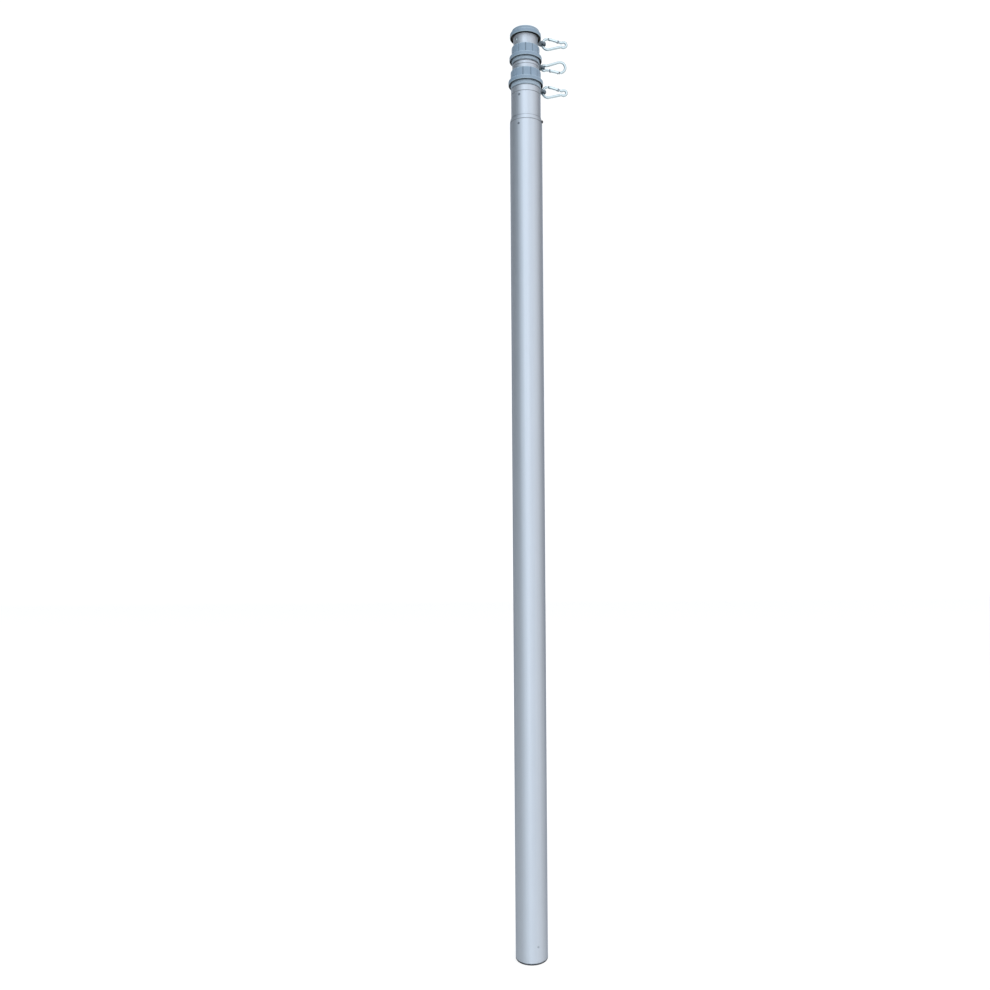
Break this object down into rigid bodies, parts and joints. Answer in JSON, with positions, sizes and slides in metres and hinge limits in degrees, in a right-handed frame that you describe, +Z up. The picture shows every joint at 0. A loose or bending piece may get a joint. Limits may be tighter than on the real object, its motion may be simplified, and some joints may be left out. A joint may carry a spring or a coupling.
{
  "type": "telescoping flagpole",
  "caption": "Telescoping aluminium flagpole, collapsed, with a capped top, grip collars, turning flag rings with snap hooks and a plugged foot for a ground sleeve.",
  "frame": {"origin": "centre of the foot plug's underside", "axes": "+Z up along the pole; -Y is the front; +X is the side the snap hooks point to"},
  "size_m": [0.1118, 0.0668, 1.726],
  "materials": {
    "tube_aluminium": "satin clear-anodised",
    "collar_plastic": "smooth moulded, blue-grey",
    "ring_plastic": "smooth moulded, blue-grey",
    "cap_plastic": "smooth moulded, blue-grey",
    "black_plastic": "smooth moulded, black",
    "bush_nylon": "natural nylon",
    "zinc_steel": "bright zinc-plated",
    "rivet_aluminium": "plain",
    "dark_steel": "black oxide"
  },
  "bodies": {
    "bottom_section": {"bottom_tube": "tube_aluminium", "foot_plug": "black_plastic", "foot_plug_rivet": "rivet_aluminium", "mouth_bush": "bush_nylon", "mouth_bush_rivet_front": "rivet_aluminium", "mouth_bush_rivet_back": "rivet_aluminium", "mouth_screw": "dark_steel"},
    "second_section": {"second_tube": "tube_aluminium", "second_stop_bush": "bush_nylon", "lower_grip_collar": "collar_plastic", "lower_retaining_ring": "collar_plastic", "lower_collar_rivet_front": "rivet_aluminium", "lower_collar_rivet_back": "rivet_aluminium"},
    "third_section": {"third_tube": "tube_aluminium", "third_stop_bush": "bush_nylon", "upper_grip_collar": "collar_plastic", "upper_retaining_ring": "collar_plastic", "upper_collar_rivet_front": "rivet_aluminium", "upper_collar_rivet_back": "rivet_aluminium"},
    "top_section": {"top_tube": "tube_aluminium", "top_stop_bush": "bush_nylon", "top_cap": "cap_plastic", "top_cap_rivet": "rivet_aluminium", "top_retaining_ring": "black_plastic"},
    "lower_ring": {"lower_flag_ring": "ring_plastic"},
    "lower_hook": {"lower_hook_body": "zinc_steel", "lower_hook_latch_pin": "dark_steel"},
    "lower_gate": {"lower_hook_gate": "zinc_steel", "lower_hook_gate_rivet": "zinc_steel"},
    "middle_ring": {"middle_flag_ring": "ring_plastic"},
    "middle_hook": {"middle_hook_body": "zinc_steel", "middle_hook_latch_pin": "dark_steel"},
    "middle_gate": {"middle_hook_gate": "zinc_steel", "middle_hook_gate_rivet": "zinc_steel"},
    "top_ring": {"top_flag_ring": "ring_plastic"},
    "top_hook": {"top_hook_body": "zinc_steel", "top_hook_latch_pin": "dark_steel"},
    "top_gate": {"top_hook_gate": "zinc_steel", "top_hook_gate_rivet": "zinc_steel"}
  },
  "joints": [
    {"name": "second_section_slide", "type": "slide", "parent": "bottom_section", "child": "second_section", "axis": [0, 0, 1], "range_m": [0, 1.45]},
    {"name": "third_section_slide", "type": "slide", "parent": "second_section", "child": "third_section", "axis": [0, 0, 1], "range_m": [0, 1.45]},
    {"name": "top_section_slide", "type": "slide", "parent": "third_section", "child": "top_section", "axis": [0, 0, 1], "range_m": [0, 1.45]},
    {"name": "lower_ring_turn", "type": "hinge", "parent": "second_section", "child": "lower_ring", "pos_m": [0, 0, 1.6295], "axis": [0, 0, 1], "continuous": true},
    {"name": "lower_hook_swivel", "type": "hinge", "parent": "lower_ring", "child": "lower_hook", "pos_m": [0.032, 0.02782, 1.626], "axis": [0, 0, 1], "range_deg": [-50, 130]},
    {"name": "lower_gate_hinge", "type": "hinge", "parent": "lower_hook", "child": "lower_gate", "pos_m": [0.06174, 0.02782, 1.62973], "axis": [0, -1, 0], "range_deg": [0, 20], "stiffness_Nm_per_rad": 0.06, "springref_deg": -11.46},
    {"name": "middle_ring_turn", "type": "hinge", "parent": "third_section", "child": "middle_ring", "pos_m": [0, 0, 1.6745], "axis": [0, 0, 1], "continuous": true},
    {"name": "middle_hook_swivel", "type": "hinge", "parent": "middle_ring", "child": "middle_hook", "pos_m": [0.02987, 0.0269, 1.671], "axis": [0, 0, 1], "range_deg": [-50, 130]},
    {"name": "middle_gate_hinge", "type": "hinge", "parent": "middle_hook", "child": "middle_gate", "pos_m": [0.04546, 0.0269, 1.66599], "axis": [0, -1, 0], "range_deg": [0, 20], "stiffness_Nm_per_rad": 0.06, "springref_deg": -11.46},
    {"name": "top_ring_turn", "type": "hinge", "parent": "top_section", "child": "top_ring", "pos_m": [0, 0, 1.7175], "axis": [0, 0, 1], "continuous": true},
    {"name": "top_hook_swivel", "type": "hinge", "parent": "top_ring", "child": "top_hook", "pos_m": [0.03195, 0.02237, 1.714], "axis": [0, 0, 1], "range_deg": [-50, 130]},
    {"name": "top_gate_hinge", "type": "hinge", "parent": "top_hook", "child": "top_gate", "pos_m": [0.06168, 0.02237, 1.71773], "axis": [0, -1, 0], "range_deg": [0, 20], "stiffness_Nm_per_rad": 0.06, "springref_deg": -11.46}
  ]
}
